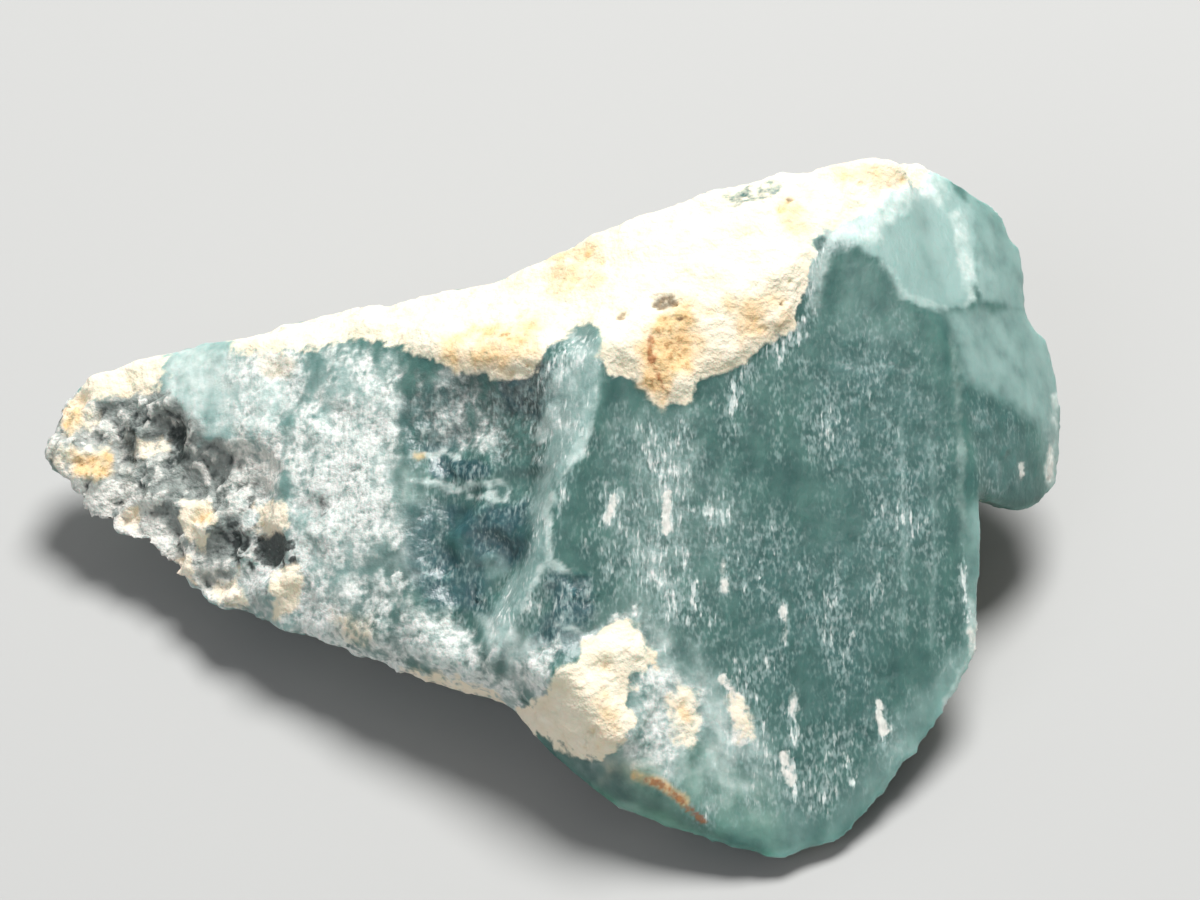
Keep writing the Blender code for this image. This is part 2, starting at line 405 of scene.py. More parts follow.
@dataclass
class Survey:
    """Every point of the skin, with where it shows in the photograph.

    Attributes:
        points: Places, in millimetres.
        normals: The directions in which the skin faces.
        view: The photograph's viewpoint.
        turn: How far past the edge of what the photograph shows its marks fade out, as a cosine.
        px: The pixels across where the points show.
        py: The pixels down where they show.
        front: How far each point faces the camera, from 0 to 1.
        wander: How far outlines wander there, from -1 to about 1.
        clumps: How a surface gathers there, from -1 to about 1.
    """

    points: Array
    normals: Array
    view: Viewpoint
    turn: float = 0.3
    px: Array = field(init=False)
    py: Array = field(init=False)
    front: Array = field(init=False)
    wander: Array = field(init=False)
    clumps: Array = field(init=False)

    def __post_init__(self) -> None:
        """Works out the pixels, how far each point faces the camera, and how outlines wander."""
        self.px, self.py = self.view.pixels_of(self.points)
        self.front = ease((self.normals @ -self.view.sight + self.turn) / self.turn)
        self.wander = self.mixed(WANDER)
        self.clumps = self.mixed(CLUMPS)

    def each(self, size: Sizes, seed: int, read: Callable[[Vector], float]) -> Array:
        """Reads a pattern at every point.

        Args:
            size: How wide the pattern is, in millimetres, or its sizes along the crystal's axes.
            seed: Which of the many such patterns to take.
            read: Gives the pattern's value at a place.

        Returns:
            The values.
        """
        shift = np.array(SEED_STEP) * seed
        places = CRYSTAL.along_axes(self.points) / size + shift
        return np.array([read(place) for place in map(Vector, places)])

    def lumps(self, size: Sizes, seed: int) -> Array:
        """Uneven lumps with finer ones on them, from -1 to about 1."""

        def read(place: Vector) -> float:
            return noise.fractal(place, LUMP_FALL, LUMP_SHRINK, LUMP_SIZES)

        return self.each(size, seed, read)

    def mixed(self, waves: tuple[Wave, ...]) -> Array:
        """Lumps of several sizes, one on the other."""
        return sum(wave.height * self.lumps(wave.size, wave.seed) for wave in waves)

    def flakes(self, size: Sizes, seed: int) -> Array:
        """Flat tilted chips with ledges between them, from -1 to 1."""

        def read(place: Vector) -> float:
            centre = noise.voronoi(place)[1][0]
            tilt = noise.cell_vector(centre * TILT_SHUFFLE) - Vector((0.5, 0.5, 0.5))
            return 2.0 * tilt.dot(place - centre)

        return self.each(size, seed, read)

    def pits(self, size: Sizes, seed: int) -> Array:
        """Small round pits in half of the places where they may lie, from 0 to 1 in a pit."""

        def read(place: Vector) -> float:
            distances, centres = noise.voronoi(place)
            wide = WIDEST_PIT * noise.cell(centres[0] * WIDTH_SHUFFLE)
            return max(0.0, 1.0 - distances[0] / max(wide, NARROWEST_PIT))

        return ease(self.each(size, seed, read))

    def densest(self, marks: tuple[Patch | Streak, ...], ragged: Array) -> Array:
        """Takes the densest of some marks at each point.

        Args:
            marks: Places in the photograph.
            ragged: How far their outlines wander at each point, in pixels.

        Returns:
            The amounts, from 0 to 1.
        """
        shares = [mark.share(self.px, self.py, ragged) for mark in marks]
        return np.max([np.zeros(len(self.px)), *shares], axis=0)

    def amount_of(self, spread: Spread) -> Array:
        """Works out how much of a kind of surface lies at each point.

        Args:
            spread: Where that kind lies.

        Returns:
            The amounts, from 0 to 1.
        """
        ragged = spread.ragged * self.wander
        worn = self.densest(spread.holes, ragged)
        amount = self.front * self.densest(spread.marks, ragged) * (1.0 - worn)
        if spread.drift:
            amount = np.maximum(amount, (1.0 - self.front) * spread.drift.share(self))
        return np.clip(amount * (1.0 + spread.clumps * self.clumps), 0.0, 1.0)


# where each kind of surface shows: outlines and strokes in the photograph's pixels
# pale milky haze; on the shoulder's pale facet and the lobe's lit half it is also painted light, on the
# thin rim painted glow
HAZE_AND_PAINTED_LIGHT_MARKS = (
    # the pale facet on the shoulder, lighter in part as painted light where it faces the lamp, and the
    # bluish one beside it
    Patch("830,240 845,200 880,150 935,150 975,215 978,299 942,309 907,298 886,264 850,240", 1.0, 14),
    Patch("962,180 1012,190 1034,259 1034,312 978,302", 0.66, 14),
    # the light half of the lobe, lighter as painted light where it faces the lamp
    Patch("948,312 1030,305 1066,340 1080,400 1070,510 1052,512 1040,430 1020,412 965,380", 0.66, 26),
    # the toe's bleached crystal under its powder, and the gap in the crust above the vein
    Patch("160,350 240,340 390,352 396,560 330,650 190,640 60,560 60,400", 0.66, 50),
    Patch("562,322 606,322 606,362 560,362", 0.5, 14),
    Patch("958,400 1040,430 1040,505 985,500", 0.25, 30),
    # the lip on the toe
    Patch("150,345 180,330 240,325 285,350 275,440 232,446 200,442 160,422", 0.95, 14),
    # the vein, and the ribbon below it
    Patch("556,355 600,360 602,400 588,440 552,500 534,530 526,510 545,450 540,400", 0.6, 24),
    Patch("541,520 552,540 545,575 530,595 519,625 490,668 478,640 484,615 512,580 528,555", 0.62, 14),
    Patch("483,554 503,554 507,574 488,578", 0.5, 10),
    # the low haze of the broad face, and the cloudy part right of the vein
    Patch("560,640 700,640 760,700 800,780 840,850 780,868 700,840 600,770", 0.36, 60),
    Patch("840,250 886,264 907,298 925,330 880,360 830,330", 0.3, 30),
    Patch("596,400 690,410 760,520 720,600 660,640 610,600", 0.26, 60),
    Patch("800,300 940,300 960,420 930,640 800,640", 0.16, 60),
    # the thin rim, lighter as painted glow of light shining through it
    Streak("985,520 984,655 962,700 928,745 895,790 860,845 785,868", 26, 0.66),
    Patch("978,640 990,660 870,850 800,868 860,770 915,690 950,650", 0.5, 34),
    Streak("785,868 714,849 620,806", 12, 0.4),
    # faint pale striae up the broad face
    Streak("900,420 905,560 903,640", 5, 0.4),
    Streak("930,400 934,520 932,650", 5, 0.4),
)

# white veils of worn crystal; on the lip's top and the lobe's seam they are a painted highlight, on the
# lobe's rim painted glow
VEIL_AND_HIGHLIGHT_MARKS = (
    # where the crust thins out over the shoulder, and the seam between its two facets
    Patch("802,246 836,208 880,168 940,158 946,196 905,206 880,238 850,240 832,236", 0.95, 30),
    Patch("800,240 836,238 826,300 800,330", 0.42, 20),
    Streak("958,216 972,296", 9, 0.5),
    Streak("880,262 906,296 944,308", 5, 0.3),
    # painted glow on the rim of the lobe, and a painted highlight on the bright line where it joins
    Streak("1054,400 1054,496", 8, 0.75),
    Streak("952,340 957,395 963,450 961,520 966,580 972,650", 7, 0.25),
    Streak("970,600 975,655 950,705", 8, 0.5),
    # the lip's top, whitened as a painted highlight, and its lower rim
    Patch("155,352 190,338 250,345 290,372 290,440 200,440 160,410", 0.6, 26),
    Patch("160,372 200,352 250,356 290,372 290,440 250,446 240,400 210,372 180,380", 0.8, 26),
    Streak("166,424 200,441 236,448", 5, 0.85),
    # the lines along the vein, the ribbon and the rounded step
    Streak("560,356 556,400 540,440", 8, 0.6),
    Patch("556,340 604,340 600,400 575,460 545,520 530,500 548,440 552,390", 0.3, 20),
    Streak("597,384 594,410 589,436 572,462 558,484 547,507 549,534 547,557", 4, 0.72),
    Streak("541,566 530,590 519,620 502,643 490,664", 4, 0.72),
    Streak("547,562 569,570 586,590 597,615 594,629", 5, 0.45),
    Streak("397,457 422,455 446,451 460,460", 4, 0.8),
    Streak("413,479 433,482 458,490 472,485 488,483", 4, 0.85),
    Streak("469,497 491,497 505,501 512,488", 4, 0.9),
    Streak("494,478 510,484 518,490", 5, 0.7),
    Streak("528,492 519,507", 4, 0.7),
    Streak("574,338 580,356 568,372", 4, 0.6),
    Streak("558,626 574,629 586,634", 5, 0.6),
    # round the lower cream patches, and down over the low haze
    Patch("560,640 640,600 700,660 760,760 760,810 640,790 590,765 655,690", 0.52, 80),
    Patch("380,430 420,440 430,520 410,600 385,600", 0.35, 40),
    Patch("470,610 560,640 545,700 505,712", 0.5, 24),
    Patch("596,400 700,410 740,520 660,600 610,560", 0.2, 60),
    # over the hollow's foot and the band
    Patch("400,600 480,640 520,700 460,700 400,660", 0.6, 30),
    Patch("290,380 400,370 410,540 300,560", 0.5, 60),
)

# a green tint, mostly painted glow where thin crystal lets light through
GREEN_GLOW_MARKS = (
    # painted glow: the thin foot of the broad face is lighter and greener where light shines through it
    Patch(
        "560,775 620,800 660,806 714,846 790,858 860,838 900,790 930,760 940,790 790,900 600,860",
        0.9,
        34,
    ),
    Patch("600,745 700,730 780,790 790,850 700,846 620,800", 0.42, 40),
    Patch("160,372 212,362 232,405 180,418", 0.35, 20),
    Patch("840,250 886,264 907,298 925,330 880,340 830,300", 0.12, 26),
    Patch("886,200 950,200 950,300 900,290", 0.2, 24),
)

# the bluest places, where one looks deepest into the crystal, and painted shade on the lobe's half that
# faces away from the light
DEEP_AND_SHADE_MARKS = (
    Patch("388,398 455,380 470,430 455,462 400,462", 0.5, 24),
    Patch("430,460 488,458 492,474 470,480 433,478", 0.95, 10),
    Patch("436,504 500,506 530,498 530,556 500,566 470,556 440,540", 0.95, 22),
    Patch("400,505 480,500 495,620 430,610 396,560", 0.7, 30),
    Patch("500,366 556,360 562,400 540,420 505,410", 1.0, 16),
    Patch("545,575 590,570 600,612 586,645 540,668 512,655 552,610", 0.72, 20),
    Patch("820,330 900,330 950,420 940,560 860,560 800,420", 0.3, 60),
    # painted shade on the lobe's half that faces away from the light
    Patch("958,385 1018,405 1036,445 1040,500 985,495", 0.3, 24),
    Patch("700,520 900,520 900,760 760,740", 0.3, 90),
)

# grey veils, and painted shade darkest at the hollow's foot and under the crust's overhanging edge
SMOKE_AND_SHADE_MARKS = (
    # painted shade in the hollow under the crust's edge, darkest just below it
    Patch("400,362 545,366 560,420 540,470 470,450 400,440", 0.6, 30),
    Patch("503,372 552,352 560,392 545,410 506,408", 0.95, 14),
    Patch("640,292 664,290 682,300 676,310 652,308", 0.8, 8),
    Patch("600,470 700,440 760,520 720,600 640,600", 0.25, 60),
    Patch("556,358 598,360 596,400 570,440 548,460 540,420", 0.3, 20),
)

# white powder on the toe, round the lower patches and in single specks
POWDER_MARKS = (
    Patch("232,430 290,400 350,380 386,398 408,440 388,480 412,530 372,566 300,560 250,510", 0.7, 60),
    Patch("285,462 330,446 372,440 386,470 384,530 340,545 300,520", 0.9, 40),
    Patch("226,421 302,421 302,500 232,500", 0.42, 40),
    Patch("226,345 345,336 400,350 396,400 300,400 240,385", 0.6, 40),
    Patch("225,400 320,400 330,620 215,620", 0.6, 60),
    Patch("264,430 306,430 308,530 266,530", 0.7, 24),
    Patch("235,365 285,352 290,440 236,440", 0.45, 22),
    Patch("185,560 300,560 400,575 410,640 300,640 195,630", 0.5, 50),
    Patch("300,600 460,616 530,690 500,715 470,715 330,670 240,650", 0.66, 34),
    Patch("380,560 430,600 470,640 430,650 380,620", 0.32, 30),
    Patch("400,362 500,366 500,470 400,440", 0.36, 40),
    Patch("642,650 700,680 708,760 640,775 615,750", 0.5, 30),
    Patch("505,655 560,640 545,700 515,710", 0.55, 20),
    Streak("478,600 474,602", 4, 0.8),
    Streak("394,545 395,550", 5, 0.9),
    Streak("398,578 398,583", 5, 0.9),
    Streak("394,609 395,614", 5, 0.9),
    Streak("585,640 612,618 632,612", 4, 0.8),
)

# fine flecks over the broad face, and the strokes where they lie close together
FLECK_MARKS = (
    Patch("560,400 700,400 770,350 820,300 900,300 955,370 975,640 860,840 640,760 570,600", 0.36, 60),
    Patch("600,400 690,410 760,480 760,640 640,640 590,520", 0.5, 60),
    Patch("800,250 830,240 820,330 740,420 690,410 760,345 798,310", 0.55, 20),
    Patch("690,380 800,330 800,520 700,520", 0.44, 40),
    Patch("700,640 860,620 870,800 740,800", 0.45, 50),
    Patch("400,380 560,380 560,640 420,640", 0.42, 30),
    Patch("620,740 760,700 830,820 700,830 640,790", 0.42, 50),
    Patch("480,600 600,560 600,700 500,690", 0.36, 30),
    Patch("540,330 604,330 600,440 548,540 530,590 490,660 480,620 530,550", 0.55, 20),
    Patch("960,380 1050,420 1050,500 970,500", 0.3, 20),
    Streak("618,490 606,524", 8, 0.9),
    Streak("692,508 728,516", 9, 0.8),
    Streak("693,584 696,608", 6, 0.9),
    Streak("722,560 726,594", 8, 0.8),
    Streak("784,605 785,644", 7, 0.8),
    Streak("797,686 794,740", 9, 0.8),
    Streak("878,702 884,738", 8, 0.8),
    Streak("786,755 794,790", 7, 0.95),
    Streak("848,762 853,785", 5, 0.8),
    Streak("962,545 964,590 968,620", 5, 0.95),
    Streak("760,560 762,600", 4, 0.7),
    Streak("812,520 814,560", 3, 0.65),
)

MATRIX_MARKS = (
    Patch(
        "75,398 110,388 160,390 205,436 245,444 268,480 256,520 258,560 226,620 150,620 60,560"
        " 30,470 60,430",
        1.0,
        34,
    ),
    Patch("226,425 262,432 285,452 268,480 290,497 262,505 230,497", 0.5, 50),
    Patch("226,530 262,520 290,545 300,575 268,610 280,640 210,640", 0.5, 50),
    Patch("20,380 110,395 120,480 180,560 175,620 60,580 20,490", 0.9, 18),
)

CREST_MARKS = (
    Patch("60,480 120,480 180,540 240,590 240,640 150,620 50,540", 0.72, 24),
    Patch("44,394 120,398 132,470 100,490 50,480", 0.2, 20),
    Patch("226,425 262,430 300,450 290,497 230,497", 0.45, 40),
    # the smears of white on the broad face and on the lobe
    Streak("668,494 667,530", 4, 0.85),
    Streak("615,494 608,520", 4, 0.42),
    Streak("722,562 725,590", 4, 0.8),
    Streak("784,608 785,640", 4, 0.8),
    Streak("798,684 796,708", 8, 0.95),
    Streak("878,702 883,732", 6, 0.9),
    Streak("724,678 736,696", 5, 1.0),
    Streak("738,700 740,740", 8, 1.0),
    Streak("784,756 790,780", 7, 0.85),
    Streak("972,628 974,655", 6, 0.5),
    Streak("1021,464 1022,484", 4, 0.7),
    Streak("1050,446 1050,478", 5, 0.8),
)

# dark grit between the grains of the toe
GRIT_MARKS = (
    Patch("116,412 165,412 200,446 180,462 120,462", 0.35, 20),
    Patch("205,505 250,500 262,560 215,570", 0.36, 22),
    Patch("256,540 274,532 292,540 290,560 276,571 262,562", 1.0, 10),
    Patch("200,573 260,570 290,620 210,620", 0.26, 24),
    Patch("293,500 331,498 330,524 296,526", 0.35, 16),
)

CRUST_MARKS = (
    Patch(
        "330,336 380,342 408,346 420,354 440,361 456,370 500,373 520,374 535,365 551,347 572,332"
        " 590,322 600,340 600,358 615,374 635,379 652,400 666,405 690,398 701,381 738,364 764,342"
        " 790,324 796,305 799,281 811,255 811,240 828,226 850,212 874,204 888,188 922,182 935,160"
        " 930,120 700,120 360,260",
        1.0,
        22,
    ),
    Patch(
        "605,626 628,622 641,639 655,652 657,666 637,673 626,700 628,723 616,746 600,760 580,758"
        " 558,746 539,732 519,712 534,703 551,694 557,668 580,656 582,645",
        1.0,
        20,
    ),
    Patch("765,285 806,268 808,306 792,326 765,330", 1.0, 10),
    # the bright top of the toe and the ridge behind the lip
    Patch("44,402 70,365 150,335 172,345 158,385 110,400 60,415", 0.85, 28),
    Patch("218,338 262,312 345,306 352,340 300,350 238,354", 0.75, 24),
    # the mottled tip
    Patch("44,396 98,394 104,426 60,434", 0.44, 20),
    Patch("44,440 116,440 118,474 80,486 50,472", 0.44, 20),
    # loose grains and blocks on the toe
    Patch("172,520 182,498 210,497 218,512 208,530 200,548 182,540", 0.95, 16),
    Patch("178,562 188,555 196,572 192,592 182,586", 0.8, 12),
    Patch("266,568 296,566 300,612 272,620", 0.72, 20),
    Patch("251,504 290,500 293,531 254,534", 0.66, 18),
    Patch("118,508 136,508 136,534 120,536", 0.7, 12),
    Patch("205,580 240,570 246,610 210,612", 0.56, 18),
    Patch("130,440 160,430 170,450 140,462", 0.5, 14),
    # the cream right part of the lower patch, the small one beside it, and the band's foot
    Patch("722,674 736,684 752,706 752,738 738,744 730,716", 0.5, 14),
    Patch("662,700 678,684 694,690 700,720 692,752 674,742", 0.62, 26),
    Patch("330,610 378,612 376,655 340,650", 0.36, 30),
    Patch("400,660 500,690 505,712 460,708 390,680", 0.55, 18),
)

# where the crust is stained
OCHRE_MARKS = (
    Patch("440,336 540,312 540,356 500,370 455,366 436,352", 0.75, 26),
    Patch("640,335 690,300 712,318 690,370 664,404 640,385", 0.9, 26),
    Patch("722,300 790,290 796,320 745,350", 0.5, 22),
    Patch("780,195 812,195 812,235 782,235", 0.4, 16),
    Patch("540,255 600,232 606,290 545,300", 0.45, 22),
    Patch("830,165 910,160 905,180 840,190", 0.45, 16),
    Patch("586,680 612,676 610,705 590,705", 0.2, 12),
    Patch("600,712 622,706 618,745 596,752", 0.3, 10),
    Patch("672,700 684,698 690,724 680,720", 0.6, 8),
    Patch("194,504 214,502 212,528 196,530", 0.55, 12),
    Patch("70,452 114,452 114,476 78,480", 0.75, 12),
    Patch("58,402 84,402 82,422 58,422", 0.7, 10),
    Patch("335,610 378,612 376,648 335,640", 0.25, 24),
    Patch("256,356 296,354 292,378 262,378", 0.26, 16),
    Patch("412,451 426,451 426,461 412,461", 0.8, 5),
    Streak("636,775 656,782 684,799", 8, 0.85),
    Patch("598,754 662,762 655,786 600,782", 0.24, 24),
)

RUST_MARKS = (
    Streak("651,336 650,352 658,372 667,396", 4, 0.8),
    Streak("646,780 662,786 680,798", 5, 0.85),
    Streak("672,792 684,803 704,822", 3.5, 0.9),
)

# dark pits in the crust
PIT_MARKS = (
    Patch("650,296 670,293 676,302 657,305", 0.7, 6),
    Patch("677,316 684,315 685,321 678,322", 0.6, 4),
    Patch("618,312 625,312 625,317 618,317", 0.5, 4),
    Patch("776,300 792,296 780,310", 0.7, 4),
    Patch("784,194 800,194 798,202 786,202", 0.7, 5),
)

SPREADS: dict[Zone, Spread] = {
    Zone.HAZE_AND_PAINTED_LIGHT: Spread(HAZE_AND_PAINTED_LIGHT_MARKS, drift=Drift(3.2, 0.45, 0.6, 21), clumps=0.12),
    Zone.VEIL_AND_HIGHLIGHT: Spread(VEIL_AND_HIGHLIGHT_MARKS, drift=Drift(2.2, 0.4, 0.6, 25), ragged=10.0, clumps=0.35),
    Zone.GREEN_GLOW: Spread(GREEN_GLOW_MARKS, drift=Drift(3.6, 0.4, 0.3, 28)),
    Zone.DEEP_AND_SHADE: Spread(DEEP_AND_SHADE_MARKS, drift=Drift(4.0, 0.4, 0.6, 31), clumps=0.2),
    Zone.SMOKE_AND_SHADE: Spread(SMOKE_AND_SHADE_MARKS, clumps=0.4),
    Zone.POWDER: Spread(
        POWDER_MARKS,
        holes=(Patch("500,366 558,360 562,408 540,420 504,412", 0.8, 14),),
        drift=Drift(2.6, 0.42, 0.7, 41),
        ragged=14.0,
        clumps=0.5,
    ),
    Zone.FLECK: Spread(FLECK_MARKS, drift=Drift(2.0, 0.5, 0.4, 51), clumps=0.36),
    Zone.MATRIX: Spread(
        MATRIX_MARKS,
        drift=Drift(2.4, 0.3, 0.8, 61, high=4.5),
        ragged=12.0,
        clumps=0.15,
    ),
    Zone.CREST: Spread(CREST_MARKS, clumps=0.6),
    Zone.GRIT: Spread(GRIT_MARKS, ragged=8.0, clumps=0.4),
    Zone.CRUST: Spread(
        CRUST_MARKS,
        holes=(
            Patch("706,200 730,186 784,178 786,194 740,208", 0.6, 14),
            Patch("566,330 586,322 604,326 602,350 575,356", 0.6, 12),
        ),
        drift=Drift(3.4, 0.36, 1.0, 71, low=2.2),
        ragged=7.0,
    ),
    Zone.OCHRE: Spread(OCHRE_MARKS, drift=Drift(2.2, 0.28, 0.35, 81), clumps=0.3),
    Zone.RUST: Spread(RUST_MARKS),
    Zone.PIT: Spread(PIT_MARKS),
}


@dataclass(frozen=True)
class Relief:
    """The shape of one kind of surface. Heights and sizes are millimetres.

    Attributes:
        rise: How far it stands out from the crystal.
        lumps: The height of its lumps.
        lump_size: How wide they are, or their sizes along the crystal's three axes.
        flakes: The height of its flat chips.
        flake_size: How wide they are.
        pits: The depth of its pits.
        pit_size: How far apart they may lie.
        grit: The height of the roughness that is too fine for the skin, even all ways.
        fibres: The height of the fine roughness that runs along the crystal's fibres.
    """

    rise: float = 0.0
    lumps: float = 0.0
    lump_size: Sizes = 0.6
    flakes: float = 0.0
    flake_size: float = 0.9
    pits: float = 0.0
    pit_size: float = 0.8
    grit: float = 0.0
    fibres: float = 0.0

    def heights(self, survey: Survey, seed: int) -> Array:
        """Works out how far this kind of surface stands out at each point.

        Args:
            survey: The points.
            seed: Which of the many such patterns it takes.

        Returns:
            The heights.
        """
        height = np.full(len(survey.points), self.rise)
        if self.lumps:
            height += self.lumps * survey.lumps(self.lump_size, seed)
        if self.flakes:
            height += self.flakes * survey.flakes(self.flake_size, seed + 2)
        if self.pits:
            height -= self.pits * survey.pits(self.pit_size, seed + 3)
        return height


# which of the many patterns of noise the bare crystal and the first of the reliefs take
BARE_SEED = 90
RELIEF_SEED = 100
SEEDS_APART = 10

BARE = Relief(lumps=0.015, lump_size=(0.35, 2.5, 0.35), grit=0.004, fibres=0.008)
RELIEFS: dict[Zone, Relief] = {
    Zone.VEIL_AND_HIGHLIGHT: Relief(lumps=0.035, lump_size=0.3, flakes=0.06, flake_size=0.4, grit=0.012, fibres=0.01),
    Zone.DEEP_AND_SHADE: Relief(lumps=0.03, lump_size=0.5, flakes=0.09, flake_size=0.5, grit=0.012, fibres=0.01),
    Zone.SMOKE_AND_SHADE: Relief(rise=-0.05, lumps=0.06, lump_size=0.5, grit=0.02, fibres=0.01),
    Zone.POWDER: Relief(
        lumps=0.1, lump_size=(0.5, 0.7, 0.5), flakes=0.06, flake_size=0.6, grit=0.035, fibres=0.02
    ),
    Zone.MATRIX: Relief(rise=-0.08, lumps=0.2, lump_size=0.75, flakes=0.12, flake_size=0.6, grit=0.05),
    Zone.GRIT: Relief(rise=-0.08, grit=0.04, fibres=0.02),
    Zone.CRUST: Relief(rise=-0.02, lumps=0.07, lump_size=0.55, pits=0.1, pit_size=0.6, grit=0.04),
    Zone.PIT: Relief(rise=-0.16, grit=0.03),
}


@dataclass(frozen=True)
class Gathering:
    """A kind of surface that gathers in the dips of another, or on its crests.

    Attributes:
        ground: The surface that has the dips and crests.
        what: What gathers there.
        amount: How much of it, or how much less of it below 0.
        on_crests: Whether it is the crests that hold it.
    """

    ground: Zone
    what: Zone
    amount: float
    on_crests: bool = False


# darker grit and less white powder in the dips, whiter crests on the matrix, and more ochre in the crust's
# dips
GATHERINGS = (
    Gathering(Zone.CRUST, Zone.OCHRE, 0.4),
    Gathering(Zone.MATRIX, Zone.GRIT, 0.5),
    Gathering(Zone.MATRIX, Zone.CREST, 0.9, on_crests=True),
    Gathering(Zone.POWDER, Zone.POWDER, -0.6),
)


@dataclass(frozen=True)
class Figure:
    """How a pattern is drawn.

    Attributes:
        size: Its size across, along and through the crystal's fibres, in millimetres.
        detail: How many finer patterns are in it.
        spread: How far around its middle its values are stretched to run from 0 to 1.
    """

    size: tuple[float, float, float]
    detail: float = 2.0
    spread: float = 0.22


FIGURES: dict[Pattern, Figure] = {
    Pattern.CLOUD: Figure((1.6, 2.8, 1.6), 1.0),
    # dust and flecks are drawn two to three times as coarse as they are, so that they show
    Pattern.DUST: Figure((0.08, 0.17, 0.08), 1.0),
    Pattern.FLAKE: Figure((0.085, 0.36, 0.085), 2.0),
    Pattern.FIBRE: Figure((0.17, 0.34, 0.17), 2.0),
    Pattern.GRAIN: Figure((0.17, 0.17, 0.17), 2.0),
    Pattern.MOTTLE: Figure((0.5, 0.6, 0.5), 3.0),
}


@dataclass(frozen=True)
class Layer:
    """One tone of the stone, laid over those before it wherever its zone and its pattern meet.

    Attributes:
        zone: Which kind of surface it belongs to.
        tone: Its colour, as an sRGB hex value.
        other: The colour that it varies to.
        breaks: The pattern that breaks up its cover.
        shades: The pattern that varies its colour.
        ragged: How strongly its cover is broken up.
        edge: How softly it ends, below the limit or it would show outside its zone.
        limit: The amount at which its cover is half, where the pattern is middling.
        strength: How much it hides what is below, from 0 to 1.
        roughness: Its roughness, from 0 to 1.
        depth: How much of its light comes from below the surface, from 0 to 1.
    """

    zone: Zone
    tone: str
    other: str
    breaks: Pattern
    shades: Pattern
    ragged: float = 1.2
    edge: float = 0.12
    limit: float = 0.5
    strength: float = 1.0
    roughness: float = 0.6
    depth: float = 0.6


# the lowest layer first, as zone, tone, other, breaks, shades,
# ragged, edge, limit, strength, roughness and depth
LAYERS = (
    # painted glow: a lighter, greener teal where thin crystal lets light through
    Layer(Zone.GREEN_GLOW, "#4a866f", "#5f9b80", Pattern.MOTTLE, Pattern.CLOUD, 0.6, 0.48, 0.5, 0.9, 0.4, 1.0),
    # the bluest crystal, and painted shade on the lobe's shaded half
    Layer(Zone.DEEP_AND_SHADE, "#214850", "#365f65", Pattern.MOTTLE, Pattern.GRAIN, 1.0, 0.45, 0.5, 0.9, 0.36, 0.8),
    # grey veils, and painted shade under the crust's edge and in the hollow
    Layer(Zone.SMOKE_AND_SHADE, "#3c4844", "#62706b", Pattern.GRAIN, Pattern.DUST, 1.2, 0.4, 0.5, 0.85, 0.5, 0.4),
    # pale haze, with painted light on the lit facets and painted glow on the thin rim
    Layer(Zone.HAZE_AND_PAINTED_LIGHT, "#8aa8a2", "#99b5af", Pattern.MOTTLE, Pattern.CLOUD, 0.4, 0.48, 0.5, 0.95, 0.5, 0.7),
    # white veils, with a painted highlight on the lip's top and the lobe's seam and painted glow on the
    # lobe's rim
    Layer(Zone.VEIL_AND_HIGHLIGHT, "#b9cbc4", "#d2ddd7", Pattern.MOTTLE, Pattern.GRAIN, 1.0, 0.48, 0.5, 0.95, 0.6, 0.6),
    Layer(Zone.FLECK, "#8ea6a2", "#b4c6c1", Pattern.DUST, Pattern.GRAIN, 2.0, 0.42, 0.62, 0.62, 0.55, 0.6),
    Layer(Zone.FLECK, "#a6b9b4", "#f0f2ec", Pattern.FLAKE, Pattern.GRAIN, 2.0, 0.26, 0.86, 0.9, 0.6, 0.4),
    Layer(Zone.MATRIX, "#9aa19b", "#6f7772", Pattern.MOTTLE, Pattern.GRAIN, 0.9, 0.25, 0.4, 1.0, 0.7, 0.2),
    Layer(Zone.POWDER, "#b3beb9", "#8fa19b", Pattern.MOTTLE, Pattern.DUST, 1.2, 0.4, 0.5, 0.9, 0.8, 0.4),
    Layer(Zone.POWDER, "#eceee8", "#c9d1ca", Pattern.GRAIN, Pattern.DUST, 1.4, 0.34, 0.56, 0.95, 0.85, 0.4),
    Layer(Zone.CREST, "#e8e6dd", "#c3c6bd", Pattern.GRAIN, Pattern.DUST, 1.2, 0.3, 0.42, 0.95, 0.8, 0.2),
    Layer(Zone.GRIT, "#1f2826", "#414c48", Pattern.GRAIN, Pattern.DUST, 1.2, 0.3, 0.45, 0.95, 0.6, 0.1),
    Layer(Zone.CRUST, "#f3ead4", "#ebdec2", Pattern.GRAIN, Pattern.MOTTLE, 0.8, 0.2, 0.4, 1.0, 0.92, 0.25),
    Layer(Zone.OCHRE, "#ecca92", "#dcae6b", Pattern.MOTTLE, Pattern.GRAIN, 0.9, 0.48, 0.5, 0.85, 0.92, 0.2),
    Layer(Zone.OCHRE, "#a87a45", "#8a6036", Pattern.GRAIN, Pattern.DUST, 2.0, 0.3, 1.4, 0.5, 0.92, 0.2),
    Layer(Zone.RUST, "#a8662c", "#84451e", Pattern.GRAIN, Pattern.DUST, 1.4, 0.45, 0.5, 0.75, 0.7, 0.3),
    Layer(Zone.PIT, "#5b5240", "#7d6644", Pattern.GRAIN, Pattern.DUST, 0.8, 0.3, 0.4, 0.85, 0.8, 0.1),
)


